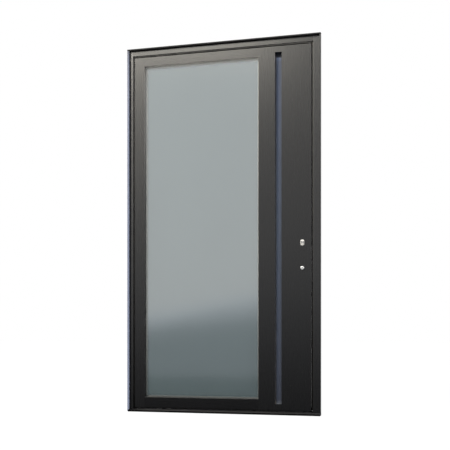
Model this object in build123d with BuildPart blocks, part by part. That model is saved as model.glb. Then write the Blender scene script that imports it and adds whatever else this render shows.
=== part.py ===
from build123d import *
import os

# Overall size of the frame with its surround
overall_width = 1350
overall_height = 2509
profile_depth = 75

# Surround: slim bars standing on the frame's face along its outer edge
left_surround_wall = 14.5
right_surround_wall = 8
head_surround_wall = 10
surround_projection = 18
edge_trim_thickness = 2
surround_edge_radius = 1

# Frame: pivot jamb, lock jamb beside a cover flange, head and sloped threshold
left_jamb_width = 36
right_jamb_width = 18
right_flange_width = 34
right_flange_thickness = 4
head_height = 46
threshold_projection = 54
threshold_height = 18
threshold_nose_height = 13
threshold_wall = 3
threshold_core_width = 52
shadow_line_width = 2
shadow_line_depth = 1.5

# Gaps between the leaf and the frame
side_gap = 14
head_gap = 15
bottom_gap = 8

# Extruded profiles: an outer and an inner hollow shell with two insulating bars between them
shell_depth = 28
profile_wall = 2.5
profile_edge_radius = 0.8
bar_thickness = 2.5
frame_bar_inset = 3
leaf_bar_inset = 6
rail_bar_inset = 3

# Leaf
stile_width = 70
top_rail_height = 60
bottom_rail_height = 72
panel_width = 355
skin_thickness = 3

# Glazing: two panes on a spacer, held between an outer gasket and inner beads
rebate_width = 20
glass_bite = 15
outer_gasket_depth = 4
outer_gasket_width = 12
outer_pane = 8
glass_gap = 14
inner_pane = 6
spacer_width = 8
spacer_edge_cover = 3
inner_gasket_depth = 3
inner_gasket_width = 10
bead_joint = 0.2
bead_chamfer = 2

# Grip recess in the panel
grip_width = 45
grip_inset = 112
grip_top_margin = 39
grip_bottom_margin = 43
outer_grip_depth = 45
inner_grip_depth = 20
channel_wall = 2
channel_fold_radius = 3

# Lock fittings
lock_backset = 58
cylinder_height = 970
cylinder_radius = 8.5
cylinder_clearance = 0.2
cylinder_stand = 5
key_slot_width = 2.2
key_slot_height = 9
key_slot_depth = 8
rose_radius = 14
rose_thickness = 6
rose_edge_bevel = 2.5
reader_height = 1138
reader_width = 28
reader_length = 43
reader_thickness = 7
reader_edge_bevel = 2
reader_corner_radius = 11
reader_window_width = 20
reader_window_length = 13
reader_window_depth = 1.5
faceplate_width = 22
faceplate_length = 240
faceplate_height = 1000
strike_length = 180
bolt_thickness = 16
bolt_reach = 30
bolt_clearance = 0.3
dead_bolt_length = 36
dead_bolt_drop = 45
latch_length = 24
latch_rise = 45

# Seals in the frame and on the leaf
seal_width = 8
seal_groove_depth = 1.2
seal_bulge = 6
seal_inset = 9.5
lock_seal_bulge = 8
lock_seal_inset = 14
sweep_width = 6
sweep_drop = 3
sweep_inset = 4

# Pivots
pivot_inset = 200
spindle_radius = 9
top_pin_radius = 7
running_clearance = 0.05
seat_clearance = 0.3
pivot_plate_length = 110
pivot_plate_width = 40
pivot_plate_thickness = 6
thrust_collar_radius = 15
shoe_length = 120
shoe_width = 44
bottom_shoe_height = 40
top_shoe_height = 30
spindle_engagement = 34
pin_engagement = 24
bore_relief = 2

# Wall anchors through the jambs
anchor_radius = 5.25
anchor_end_margin = 200
anchor_count = 4

# Planes across the depth, from the front to the back
face = -profile_depth / 2
rear = profile_depth / 2
surround_front = face - surround_projection
threshold_front = face - threshold_projection
flange_back = face + right_flange_thickness
outer_shell_back = face + shell_depth
inner_shell_front = rear - shell_depth
glass_front = outer_shell_back + outer_gasket_depth
outer_pane_back = glass_front + outer_pane
inner_pane_front = outer_pane_back + glass_gap
glass_back = inner_pane_front + inner_pane
bead_front = glass_back + inner_gasket_depth
skin_back = face + skin_thickness
inner_skin_front = rear - skin_thickness
outer_grip_floor = face + outer_grip_depth
inner_grip_floor = rear - inner_grip_depth

# Lines across the width
outer_left = -overall_width / 2
outer_right = overall_width / 2
frame_right = outer_right - right_flange_width
doorway_left = outer_left + left_jamb_width
doorway_right = frame_right - right_jamb_width
leaf_left = doorway_left + side_gap
leaf_right = doorway_right - side_gap
sight_left = leaf_left + stile_width
sight_right = leaf_right - panel_width
grip_left = sight_right + grip_inset
grip_right = grip_left + grip_width
slot_left = grip_left - channel_wall
slot_right = grip_right + channel_wall
pivot_x = leaf_left + pivot_inset
lock_x = leaf_right - lock_backset

# Lines up the height
head_bottom = overall_height - head_height
leaf_top = head_bottom - head_gap
leaf_bottom = threshold_height + bottom_gap
sight_top = leaf_top - top_rail_height
sight_bottom = leaf_bottom + bottom_rail_height
grip_top = leaf_top - grip_top_margin
grip_bottom = leaf_bottom + grip_bottom_margin
slot_top = grip_top + channel_wall
slot_bottom = grip_bottom - channel_wall
bolt_levels = [
    (faceplate_height - dead_bolt_drop, dead_bolt_length),
    (faceplate_height + latch_rise, latch_length),
]
anchor_spacing = (overall_height - 2 * anchor_end_margin) / (anchor_count - 1)
anchor_levels = [anchor_end_margin + i * anchor_spacing for i in range(anchor_count)]
anchor_y = (inner_shell_front + rear) / 2
seal_y = face + seal_inset + seal_width / 2
lock_seal_y = rear - lock_seal_inset - seal_width / 2

upright = Plane.XY
crosswise = Plane.YZ


def tube_section(plane, u_low, u_high, v_low, v_high):
    with BuildSketch(plane) as section:
        with Locations(((u_low + u_high) / 2, (v_low + v_high) / 2)):
            RectangleRounded(u_high - u_low, v_high - v_low, profile_edge_radius)
            Rectangle(
                u_high - u_low - 2 * profile_wall,
                v_high - v_low - 2 * profile_wall,
                mode=Mode.SUBTRACT,
            )
    return section.sketch


def ring_section(plane, spread_outside, spread_inside):
    across = (sight_left + sight_right) / 2
    level = (sight_bottom + sight_top) / 2
    width = sight_right - sight_left
    height = sight_top - sight_bottom
    with BuildSketch(plane) as section:
        with Locations((across, level)):
            Rectangle(width + 2 * spread_outside, height + 2 * spread_outside)
            Rectangle(width + 2 * spread_inside, height + 2 * spread_inside, mode=Mode.SUBTRACT)
    return section.sketch


def seal_section(plane, seat_u, seat_v, inward_u, inward_v, bulge):
    # A D-shaped bulb on a foot, drawn about the middle of its seat and bulging along the inward direction
    side_u, side_v = -inward_v, inward_u
    half = seal_width / 2

    def at(side, out):
        return (seat_u + side * side_u + out * inward_u, seat_v + side * side_v + out * inward_v)

    with BuildSketch(plane) as section:
        with BuildLine():
            Polyline(at(half, 0), at(half, -seal_groove_depth), at(-half, -seal_groove_depth), at(-half, 0))
            ThreePointArc(at(-half, 0), at(0, bulge), at(half, 0))
        make_face()
    return section.sketch


def block(low, high, mode=Mode.ADD):
    size = [b - a for a, b in zip(low, high)]
    middle = [(a + b) / 2 for a, b in zip(low, high)]
    with Locations(tuple(middle)):
        Box(*size, mode=mode)


def crossways_plane(y):
    # Local x is the width and local y is the height, with the normal towards the front
    return Plane(origin=(0, y, 0), x_dir=(1, 0, 0), z_dir=(0, -1, 0))


def through_hole(x, z, y_low, y_high, radius):
    with Locations(Location((x, (y_low + y_high) / 2, z), (90, 0, 0))):
        Cylinder(radius, y_high - y_low, mode=Mode.SUBTRACT)


def anchor_holes(x_low, x_high):
    for level in anchor_levels:
        with Locations(Location(((x_low + x_high) / 2, anchor_y, level), (0, 90, 0))):
            Cylinder(anchor_radius, x_high - x_low, mode=Mode.SUBTRACT)


# Surround bars
bar_top = overall_height - head_surround_wall
left_bar_edge = outer_left + left_surround_wall
trim_back = surround_front + edge_trim_thickness

with BuildPart() as left_surround:
    block((outer_left, trim_back, threshold_height), (left_bar_edge, face, bar_top))

with BuildPart() as left_edge_trim:
    block((outer_left, surround_front, threshold_height), (left_bar_edge, trim_back, bar_top))
    front_edges = left_edge_trim.edges().filter_by(Axis.Z).group_by(Axis.Y)[0]
    fillet(front_edges, surround_edge_radius)

with BuildPart() as right_surround:
    block(
        (outer_right - right_surround_wall, surround_front, threshold_height),
        (outer_right, face, bar_top),
    )
    front_edges = right_surround.edges().filter_by(Axis.Z).group_by(Axis.Y)[0]
    fillet(front_edges, surround_edge_radius)

with BuildPart() as head_surround:
    block((outer_left, surround_front, bar_top), (outer_right, face, overall_height))
    front_edges = head_surround.edges().filter_by(Axis.X).group_by(Axis.Y)[0]
    fillet(front_edges, surround_edge_radius)


# Jambs: full height, each an outer and an inner shell
with BuildPart() as left_jamb_outer:
    extrude(tube_section(upright, outer_left, doorway_left, face, outer_shell_back), amount=overall_height)
    block(
        (doorway_left - seal_groove_depth, seal_y - seal_width / 2, 0),
        (doorway_left, seal_y + seal_width / 2, overall_height),
        mode=Mode.SUBTRACT,
    )

with BuildPart() as left_jamb_inner:
    extrude(tube_section(upright, outer_left, doorway_left, inner_shell_front, rear), amount=overall_height)
    anchor_holes(outer_left, doorway_left)

strike_low = (doorway_right, -faceplate_width / 2, faceplate_height - strike_length / 2)
strike_high = (doorway_right + profile_wall, faceplate_width / 2, faceplate_height + strike_length / 2)

with BuildPart() as right_jamb_outer:
    extrude(tube_section(upright, doorway_right, frame_right, face, outer_shell_back), amount=overall_height)
    block(
        (doorway_right, seal_y - seal_width / 2, 0),
        (doorway_right + seal_groove_depth, seal_y + seal_width / 2, overall_height),
        mode=Mode.SUBTRACT,
    )
    block(strike_low, strike_high, mode=Mode.SUBTRACT)

with BuildPart() as right_jamb_inner:
    extrude(tube_section(upright, doorway_right, frame_right, inner_shell_front, rear), amount=overall_height)
    anchor_holes(doorway_right, frame_right)
    block(strike_low, strike_high, mode=Mode.SUBTRACT)

# Cover flange beside the lock jamb, its joint drawn as a shadow line
with BuildPart() as right_cover_flange:
    block((frame_right, face, 0), (outer_right, flange_back, overall_height))
    block(
        (frame_right, face, 0),
        (frame_right + shadow_line_width, face + shadow_line_depth, overall_height),
        mode=Mode.SUBTRACT,
    )

# Head between the jambs
top_plate_low = (pivot_x - pivot_plate_length / 2, -pivot_plate_width / 2, head_bottom)
top_plate_high = (
    pivot_x + pivot_plate_length / 2,
    pivot_plate_width / 2,
    head_bottom + pivot_plate_thickness,
)
doorway_width = doorway_right - doorway_left
head_start = crosswise.offset(doorway_left)

with BuildPart() as head_outer:
    section = tube_section(head_start, face, outer_shell_back, head_bottom, overall_height)
    extrude(section, amount=doorway_width)
    block(
        (doorway_left, seal_y - seal_width / 2, head_bottom),
        (doorway_right, seal_y + seal_width / 2, head_bottom + seal_groove_depth),
        mode=Mode.SUBTRACT,
    )
    block(top_plate_low, top_plate_high, mode=Mode.SUBTRACT)

with BuildPart() as head_inner:
    section = tube_section(head_start, inner_shell_front, rear, head_bottom, overall_height)
    extrude(section, amount=doorway_width)
    block(top_plate_low, top_plate_high, mode=Mode.SUBTRACT)

with BuildPart() as frame_thermal_break:
    for jamb_left, jamb_right in ((outer_left, doorway_left), (doorway_right, frame_right)):
        for bar_left in (jamb_left + frame_bar_inset, jamb_right - frame_bar_inset - bar_thickness):
            block(
                (bar_left, outer_shell_back, 0),
                (bar_left + bar_thickness, inner_shell_front, overall_height),
            )
    for bar_bottom in (head_bottom + frame_bar_inset, overall_height - frame_bar_inset - bar_thickness):
        block(
            (doorway_left, outer_shell_back, bar_bottom),
            (doorway_right, inner_shell_front, bar_bottom + bar_thickness),
        )
    block(top_plate_low, top_plate_high, mode=Mode.SUBTRACT)

# Threshold: a hollow sill with a solid core under the pivot, its sloped nose running before the jambs
floor_plate_low = (
    pivot_x - pivot_plate_length / 2,
    -pivot_plate_width / 2,
    threshold_height - pivot_plate_thickness,
)
floor_plate_high = (pivot_x + pivot_plate_length / 2, pivot_plate_width / 2, threshold_height)

with BuildPart() as threshold:
    with BuildSketch(crosswise.offset(outer_left)):
        with BuildLine():
            Polyline(
                (threshold_front, 0),
                (rear, 0),
                (rear, threshold_height),
                (face, threshold_height),
                (threshold_front, threshold_nose_height),
                close=True,
            )
        make_face()
        core_front = -threshold_core_width / 2
        slope = (threshold_height - threshold_nose_height) / threshold_projection
        nose_ceiling = threshold_nose_height - threshold_wall + slope * threshold_wall
        with BuildLine():
            Polyline(
                (threshold_front + threshold_wall, threshold_wall),
                (core_front, threshold_wall),
                (core_front, threshold_height - threshold_wall),
                (face, threshold_height - threshold_wall),
                (threshold_front + threshold_wall, nose_ceiling),
                close=True,
            )
        make_face(mode=Mode.SUBTRACT)
        with Locations(((rear - core_front - threshold_wall) / 2, threshold_height / 2)):
            Rectangle(
                rear + core_front - threshold_wall,
                threshold_height - 2 * threshold_wall,
                mode=Mode.SUBTRACT,
            )
    extrude(amount=overall_width)
    block((outer_left, face, 0), (doorway_left, rear, threshold_height), mode=Mode.SUBTRACT)
    block((doorway_right, face, 0), (outer_right, rear, threshold_height), mode=Mode.SUBTRACT)
    block(floor_plate_low, floor_plate_high, mode=Mode.SUBTRACT)

with BuildPart() as frame_seals:
    seal_start = upright.offset(threshold_height)
    seal_length = head_bottom - threshold_height
    extrude(seal_section(seal_start, doorway_left, seal_y, 1, 0, seal_bulge), amount=seal_length)
    extrude(seal_section(seal_start, doorway_right, seal_y, -1, 0, seal_bulge), amount=seal_length)
    head_seal_start = crosswise.offset(doorway_left + 2 * seal_bulge)
    head_seal = seal_section(head_seal_start, seal_y, head_bottom, 0, -1, seal_bulge)
    extrude(head_seal, amount=doorway_width - 4 * seal_bulge)

with BuildPart() as strike_plate:
    block(strike_low, strike_high)
    for level, length in bolt_levels:
        block(
            (doorway_right, -bolt_thickness / 2 - bolt_clearance, level - length / 2 - bolt_clearance),
            (
                doorway_right + profile_wall,
                bolt_thickness / 2 + bolt_clearance,
                level + length / 2 + bolt_clearance,
            ),
            mode=Mode.SUBTRACT,
        )

# Pivots fixed to the frame: a plate with a spindle below, a plate with a pin above
with BuildPart() as floor_pivot:
    block(floor_plate_low, floor_plate_high)
    with BuildSketch(upright.offset(threshold_height)):
        with Locations((pivot_x, 0)):
            Circle(thrust_collar_radius)
    extrude(amount=bottom_gap - seat_clearance)
    with BuildSketch(upright.offset(threshold_height)):
        with Locations((pivot_x, 0)):
            Circle(spindle_radius)
    extrude(amount=bottom_gap + spindle_engagement)

with BuildPart() as top_pivot:
    block(top_plate_low, top_plate_high)
    with BuildSketch(upright.offset(head_bottom)):
        with Locations((pivot_x, 0)):
            Circle(top_pin_radius)
    extrude(amount=-head_gap - pin_engagement)

# Leaf: stiles run full height and the rails stand between them
stile_plane = upright.offset(leaf_bottom)
leaf_height = leaf_top - leaf_bottom
rail_plane = crosswise.offset(sight_left)
inner_rail_plane = crosswise.offset(sight_left - rebate_width)
rail_length = sight_right - sight_left
inner_rail_length = rail_length + 2 * rebate_width
bottom_shoe_low = (pivot_x - shoe_length / 2, -shoe_width / 2, leaf_bottom)
bottom_shoe_high = (pivot_x + shoe_length / 2, shoe_width / 2, leaf_bottom + bottom_shoe_height)
top_shoe_low = (pivot_x - shoe_length / 2, -shoe_width / 2, leaf_top - top_shoe_height)
top_shoe_high = (pivot_x + shoe_length / 2, shoe_width / 2, leaf_top)

with BuildPart() as left_stile_outer:
    extrude(tube_section(stile_plane, leaf_left, sight_left, face, outer_shell_back), amount=leaf_height)

with BuildPart() as left_stile_inner:
    inner_edge = sight_left - rebate_width
    extrude(tube_section(stile_plane, leaf_left, inner_edge, inner_shell_front, rear), amount=leaf_height)

with BuildPart() as top_rail_outer:
    extrude(tube_section(rail_plane, face, outer_shell_back, sight_top, leaf_top), amount=rail_length)
    block(top_shoe_low, top_shoe_high, mode=Mode.SUBTRACT)

with BuildPart() as top_rail_inner:
    section = tube_section(inner_rail_plane, inner_shell_front, rear, sight_top + rebate_width, leaf_top)
    extrude(section, amount=inner_rail_length)
    block(top_shoe_low, top_shoe_high, mode=Mode.SUBTRACT)

with BuildPart() as bottom_rail_outer:
    extrude(tube_section(rail_plane, face, outer_shell_back, leaf_bottom, sight_bottom), amount=rail_length)
    block(bottom_shoe_low, bottom_shoe_high, mode=Mode.SUBTRACT)

with BuildPart() as bottom_rail_inner:
    inner_edge = sight_bottom - rebate_width
    section = tube_section(inner_rail_plane, inner_shell_front, rear, leaf_bottom, inner_edge)
    extrude(section, amount=inner_rail_length)
    block(bottom_shoe_low, bottom_shoe_high, mode=Mode.SUBTRACT)

# Panel side: profiles on both sides of the grip recess, under flat skins
faceplate_low = (leaf_right - profile_wall, -faceplate_width / 2, faceplate_height - faceplate_length / 2)
faceplate_high = (leaf_right, faceplate_width / 2, faceplate_height + faceplate_length / 2)
cylinder_bore = cylinder_radius + cylinder_clearance

with BuildPart() as mullion_outer:
    section = tube_section(stile_plane, sight_right, slot_left, skin_back, outer_shell_back)
    extrude(section, amount=leaf_height)

with BuildPart() as mullion_inner:
    inner_edge = sight_right + rebate_width
    section = tube_section(stile_plane, inner_edge, slot_left, inner_shell_front, inner_skin_front)
    extrude(section, amount=leaf_height)

with BuildPart() as lock_stile_outer:
    section = tube_section(stile_plane, slot_right, leaf_right, skin_back, outer_shell_back)
    extrude(section, amount=leaf_height)
    block(faceplate_low, faceplate_high, mode=Mode.SUBTRACT)
    through_hole(lock_x, cylinder_height, skin_back, outer_shell_back, cylinder_bore)

with BuildPart() as lock_stile_inner:
    section = tube_section(stile_plane, slot_right, leaf_right, inner_shell_front, inner_skin_front)
    extrude(section, amount=leaf_height)
    block(
        (leaf_right - seal_groove_depth, lock_seal_y - seal_width / 2, leaf_bottom),
        (leaf_right, lock_seal_y + seal_width / 2, leaf_top),
        mode=Mode.SUBTRACT,
    )
    block(faceplate_low, faceplate_high, mode=Mode.SUBTRACT)
    through_hole(lock_x, cylinder_height, inner_shell_front, inner_skin_front, cylinder_bore)

with BuildPart() as leaf_thermal_break:
    for bar_left in (
        leaf_left + leaf_bar_inset,
        sight_left - rebate_width - leaf_bar_inset - bar_thickness,
        sight_right + rebate_width + leaf_bar_inset,
        slot_left - bar_thickness,
        slot_right,
        leaf_right - leaf_bar_inset - bar_thickness,
    ):
        block(
            (bar_left, outer_shell_back, leaf_bottom),
            (bar_left + bar_thickness, inner_shell_front, leaf_top),
        )
    for bar_bottom in (
        leaf_bottom + leaf_bar_inset,
        sight_bottom - rebate_width - rail_bar_inset - bar_thickness,
        sight_top + rebate_width + rail_bar_inset,
        leaf_top - leaf_bar_inset - bar_thickness,
    ):
        block(
            (sight_left - rebate_width, outer_shell_back, bar_bottom),
            (sight_right + rebate_width, inner_shell_front, bar_bottom + bar_thickness),
        )
    block(bottom_shoe_low, bottom_shoe_high, mode=Mode.SUBTRACT)
    block(top_shoe_low, top_shoe_high, mode=Mode.SUBTRACT)
    for level, length in bolt_levels:
        block(
            (leaf_right - bolt_reach, outer_shell_back, level - length / 2),
            (leaf_right, inner_shell_front, level + length / 2),
            mode=Mode.SUBTRACT,
        )


def panel_skin(x_low, y_low, y_high):
    with BuildPart() as skin:
        block((x_low, y_low, leaf_bottom), (leaf_right, y_high, leaf_top))
        block((grip_left, y_low, grip_bottom), (grip_right, y_high, grip_top), mode=Mode.SUBTRACT)
        through_hole(lock_x, cylinder_height, y_low, y_high, cylinder_bore)
    return skin


panel_outer_skin = panel_skin(sight_right, face, skin_back)
panel_inner_skin = panel_skin(sight_right + rebate_width, inner_skin_front, rear)

with BuildPart() as panel_end_blocks:
    block((slot_left, skin_back, leaf_bottom), (slot_right, inner_skin_front, slot_bottom))
    block((slot_left, skin_back, slot_top), (slot_right, inner_skin_front, leaf_top))

with BuildPart() as panel_web:
    block(
        (slot_left, outer_grip_floor + channel_wall, slot_bottom),
        (slot_right, inner_grip_floor - channel_wall, slot_top),
    )


# Grip channels: folded trays, open to the front or to the back
with BuildPart() as outer_grip_channel:
    block((slot_left, skin_back, slot_bottom), (slot_right, outer_grip_floor + channel_wall, slot_top))
    block((grip_left, skin_back, grip_bottom), (grip_right, outer_grip_floor, grip_top), mode=Mode.SUBTRACT)
    corners = outer_grip_channel.edges().filter_by(Axis.Z)
    folds = corners.filter_by_position(Axis.Y, outer_grip_floor, outer_grip_floor)
    fillet(folds, channel_fold_radius)

with BuildPart() as inner_grip_channel:
    block(
        (slot_left, inner_grip_floor - channel_wall, slot_bottom),
        (slot_right, inner_skin_front, slot_top),
    )
    block(
        (grip_left, inner_grip_floor, grip_bottom),
        (grip_right, inner_skin_front, grip_top),
        mode=Mode.SUBTRACT,
    )
    corners = inner_grip_channel.edges().filter_by(Axis.Z)
    folds = corners.filter_by_position(Axis.Y, inner_grip_floor, inner_grip_floor)
    fillet(folds, channel_fold_radius)


# Glazing
def pane(y_low, y_high):
    with BuildPart() as sheet:
        block(
            (sight_left - glass_bite, y_low, sight_bottom - glass_bite),
            (sight_right + glass_bite, y_high, sight_top + glass_bite),
        )
    return sheet


outer_glass = pane(glass_front, outer_pane_back)
inner_glass = pane(inner_pane_front, glass_back)

with BuildPart() as glass_spacer:
    spacer_spread = glass_bite - spacer_edge_cover
    extrude(
        ring_section(crossways_plane(inner_pane_front), spacer_spread, spacer_spread - spacer_width),
        amount=glass_gap,
    )

with BuildPart() as glazing_gaskets:
    extrude(ring_section(crossways_plane(glass_front), outer_gasket_width, 0), amount=outer_gasket_depth)
    extrude(ring_section(crossways_plane(bead_front), inner_gasket_width, 0), amount=inner_gasket_depth)

with BuildPart() as glazing_beads:
    bead_left = sight_left - rebate_width
    bead_right = sight_right + rebate_width
    for bead_bottom in (sight_bottom - rebate_width, sight_top):
        block((bead_left, bead_front, bead_bottom), (bead_right, rear, bead_bottom + rebate_width))
    for bead_start in (bead_left, sight_right):
        block(
            (bead_start, bead_front, sight_bottom + bead_joint),
            (bead_start + rebate_width, rear, sight_top - bead_joint),
        )
    back_edges = glazing_beads.edges().group_by(Axis.Y)[-1]
    across = back_edges.filter_by(Axis.X).filter_by_position(Axis.Z, sight_bottom, sight_top)
    upward = back_edges.filter_by(Axis.Z).filter_by_position(Axis.X, sight_left, sight_right)
    long_edges = across.filter_by(lambda edge: edge.length > rebate_width) + upward
    chamfer(long_edges, bead_chamfer)

# Lock fittings
with BuildPart() as finger_reader:
    with BuildSketch(crossways_plane(face)):
        with Locations((lock_x, reader_height)):
            RectangleRounded(reader_width, reader_length, reader_corner_radius)
    extrude(amount=reader_thickness)
    front_face = finger_reader.faces().sort_by(Axis.Y)[0]
    chamfer(front_face.edges(), reader_edge_bevel)
    with BuildSketch(crossways_plane(face - reader_thickness)):
        with Locations((lock_x, reader_height)):
            Rectangle(reader_window_width, reader_window_length)
    extrude(amount=-reader_window_depth, mode=Mode.SUBTRACT)

with BuildPart() as reader_window:
    with BuildSketch(crossways_plane(face - reader_thickness)):
        with Locations((lock_x, reader_height)):
            Rectangle(reader_window_width, reader_window_length)
    extrude(amount=-reader_window_depth)


def rose(seat_y, outward):
    with BuildSketch(crossways_plane(seat_y)) as ring:
        with Locations((lock_x, cylinder_height)):
            Circle(rose_radius)
            Circle(cylinder_bore, mode=Mode.SUBTRACT)
    return extrude(ring.sketch, amount=-outward * rose_thickness)


with BuildPart() as cylinder_roses:
    rose(face, -1)
    rose(rear, 1)
    rims = cylinder_roses.edges().filter_by(GeomType.CIRCLE).group_by(SortBy.RADIUS)[-1].group_by(Axis.Y)
    chamfer(rims[0] + rims[-1], rose_edge_bevel)

with BuildPart() as lock_cylinder:
    with BuildSketch(crossways_plane(rear + cylinder_stand)):
        with Locations((lock_x, cylinder_height)):
            Circle(cylinder_radius)
    extrude(amount=profile_depth + 2 * cylinder_stand)
    for slot_front in (face - cylinder_stand, rear + cylinder_stand - key_slot_depth):
        block(
            (lock_x - key_slot_width / 2, slot_front, cylinder_height - key_slot_height / 2),
            (
                lock_x + key_slot_width / 2,
                slot_front + key_slot_depth,
                cylinder_height + key_slot_height / 2,
            ),
            mode=Mode.SUBTRACT,
        )

with BuildPart() as lock_faceplate:
    block(faceplate_low, faceplate_high)
    for level, length in bolt_levels:
        block(
            (
                leaf_right - profile_wall,
                -bolt_thickness / 2 - bolt_clearance,
                level - length / 2 - bolt_clearance,
            ),
            (leaf_right, bolt_thickness / 2 + bolt_clearance, level + length / 2 + bolt_clearance),
            mode=Mode.SUBTRACT,
        )

with BuildPart() as lock_bolts:
    for level, length in bolt_levels:
        block(
            (leaf_right - bolt_reach, -bolt_thickness / 2, level - length / 2),
            (leaf_right, bolt_thickness / 2, level + length / 2),
        )

# Seals on the leaf: a sweep under its front edge and a bulb up its lock edge
with BuildPart() as leaf_seals:
    sweep_front = face + sweep_inset
    block(
        (leaf_left, sweep_front, leaf_bottom - sweep_drop),
        (leaf_right, sweep_front + sweep_width, leaf_bottom),
    )
    extrude(seal_section(stile_plane, leaf_right, lock_seal_y, 1, 0, lock_seal_bulge), amount=leaf_height)

# Pivot shoes let into the rails
with BuildPart() as bottom_pivot_shoe:
    block(bottom_shoe_low, bottom_shoe_high)
    with BuildSketch(upright.offset(leaf_bottom)):
        with Locations((pivot_x, 0)):
            Circle(spindle_radius + running_clearance)
    extrude(amount=spindle_engagement + bore_relief, mode=Mode.SUBTRACT)

with BuildPart() as top_pivot_shoe:
    block(top_shoe_low, top_shoe_high)
    with BuildSketch(upright.offset(leaf_top)):
        with Locations((pivot_x, 0)):
            Circle(top_pin_radius + running_clearance)
    extrude(amount=-pin_engagement - bore_relief, mode=Mode.SUBTRACT)

pieces = {
    "left_surround": left_surround,
    "left_edge_trim": left_edge_trim,
    "right_surround": right_surround,
    "head_surround": head_surround,
    "left_jamb_outer": left_jamb_outer,
    "left_jamb_inner": left_jamb_inner,
    "right_jamb_outer": right_jamb_outer,
    "right_jamb_inner": right_jamb_inner,
    "right_cover_flange": right_cover_flange,
    "head_outer": head_outer,
    "head_inner": head_inner,
    "frame_thermal_break": frame_thermal_break,
    "threshold": threshold,
    "frame_seals": frame_seals,
    "strike_plate": strike_plate,
    "floor_pivot": floor_pivot,
    "top_pivot": top_pivot,
    "left_stile_outer": left_stile_outer,
    "left_stile_inner": left_stile_inner,
    "top_rail_outer": top_rail_outer,
    "top_rail_inner": top_rail_inner,
    "bottom_rail_outer": bottom_rail_outer,
    "bottom_rail_inner": bottom_rail_inner,
    "mullion_outer": mullion_outer,
    "mullion_inner": mullion_inner,
    "lock_stile_outer": lock_stile_outer,
    "lock_stile_inner": lock_stile_inner,
    "leaf_thermal_break": leaf_thermal_break,
    "panel_outer_skin": panel_outer_skin,
    "panel_inner_skin": panel_inner_skin,
    "panel_end_blocks": panel_end_blocks,
    "panel_web": panel_web,
    "outer_grip_channel": outer_grip_channel,
    "inner_grip_channel": inner_grip_channel,
    "outer_glass": outer_glass,
    "glass_spacer": glass_spacer,
    "inner_glass": inner_glass,
    "glazing_gaskets": glazing_gaskets,
    "glazing_beads": glazing_beads,
    "finger_reader": finger_reader,
    "reader_window": reader_window,
    "cylinder_roses": cylinder_roses,
    "lock_cylinder": lock_cylinder,
    "lock_faceplate": lock_faceplate,
    "lock_bolts": lock_bolts,
    "leaf_seals": leaf_seals,
    "bottom_pivot_shoe": bottom_pivot_shoe,
    "top_pivot_shoe": top_pivot_shoe,
}

os.makedirs("parts", exist_ok=True)
for name, piece in pieces.items():
    piece.part.label = name
    export_step(piece.part, f"parts/{name}.step")
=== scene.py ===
import math

import bmesh
import bpy
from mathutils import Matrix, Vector


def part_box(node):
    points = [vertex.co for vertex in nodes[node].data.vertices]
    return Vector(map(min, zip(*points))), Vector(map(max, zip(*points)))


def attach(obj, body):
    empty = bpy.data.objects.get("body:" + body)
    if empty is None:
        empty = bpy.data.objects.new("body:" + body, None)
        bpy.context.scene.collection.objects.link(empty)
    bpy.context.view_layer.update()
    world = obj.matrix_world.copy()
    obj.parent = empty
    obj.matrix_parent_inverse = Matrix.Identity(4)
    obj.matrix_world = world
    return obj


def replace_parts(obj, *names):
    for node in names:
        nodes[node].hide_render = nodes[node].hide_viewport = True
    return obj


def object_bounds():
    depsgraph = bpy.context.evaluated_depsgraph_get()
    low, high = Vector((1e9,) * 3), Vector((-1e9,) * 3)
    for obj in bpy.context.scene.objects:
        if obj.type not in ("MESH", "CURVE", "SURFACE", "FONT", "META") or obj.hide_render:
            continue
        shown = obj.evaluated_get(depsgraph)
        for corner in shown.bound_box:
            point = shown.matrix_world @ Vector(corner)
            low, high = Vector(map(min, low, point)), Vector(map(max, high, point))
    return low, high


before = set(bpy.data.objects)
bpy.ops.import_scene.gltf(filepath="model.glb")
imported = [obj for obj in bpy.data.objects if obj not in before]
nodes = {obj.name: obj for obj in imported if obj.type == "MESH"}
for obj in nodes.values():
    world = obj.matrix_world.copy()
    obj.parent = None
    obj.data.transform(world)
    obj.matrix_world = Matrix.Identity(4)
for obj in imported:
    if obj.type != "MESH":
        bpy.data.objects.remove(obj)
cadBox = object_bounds()
print("frame loaded:", len(nodes), "nodes")


# shading helpers
def emptyMaterial(name):
    mat = bpy.data.materials.new(name)
    mat.use_nodes = True
    tree = mat.node_tree
    tree.nodes.clear()
    return mat, tree, tree.nodes.new("ShaderNodeOutputMaterial")


def newMaterial(name):
    mat, tree, out = emptyMaterial(name)
    shader = tree.nodes.new("ShaderNodeBsdfPrincipled")
    tree.links.new(shader.outputs["BSDF"], out.inputs["Surface"])
    return mat, tree, shader


def objectSpace(tree, stretch=(1, 1, 1)):
    coords = tree.nodes.new("ShaderNodeTexCoord")
    mapping = tree.nodes.new("ShaderNodeMapping")
    mapping.inputs["Scale"].default_value = stretch
    tree.links.new(coords.outputs["Object"], mapping.inputs["Vector"])
    return mapping.outputs["Vector"]


def placeOf(tree):
    split = tree.nodes.new("ShaderNodeSeparateXYZ")
    tree.links.new(objectSpace(tree), split.inputs[0])
    return split.outputs


def cloud(tree, stretch, detail):
    noise = tree.nodes.new("ShaderNodeTexNoise")
    noise.inputs["Scale"].default_value = 1  # the stretch sets the size
    noise.inputs["Detail"].default_value = detail
    noise.inputs["Roughness"].default_value = 0.55
    tree.links.new(objectSpace(tree, stretch), noise.inputs["Vector"])
    return noise.outputs["Fac"]


def worked(tree, operation, first, second):
    step = tree.nodes.new("ShaderNodeMath")
    step.operation = operation
    for value, socket in zip((first, second), step.inputs):
        if isinstance(value, (int, float)):
            socket.default_value = value
        else:
            tree.links.new(value, socket)
    return step.outputs[0]


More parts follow.
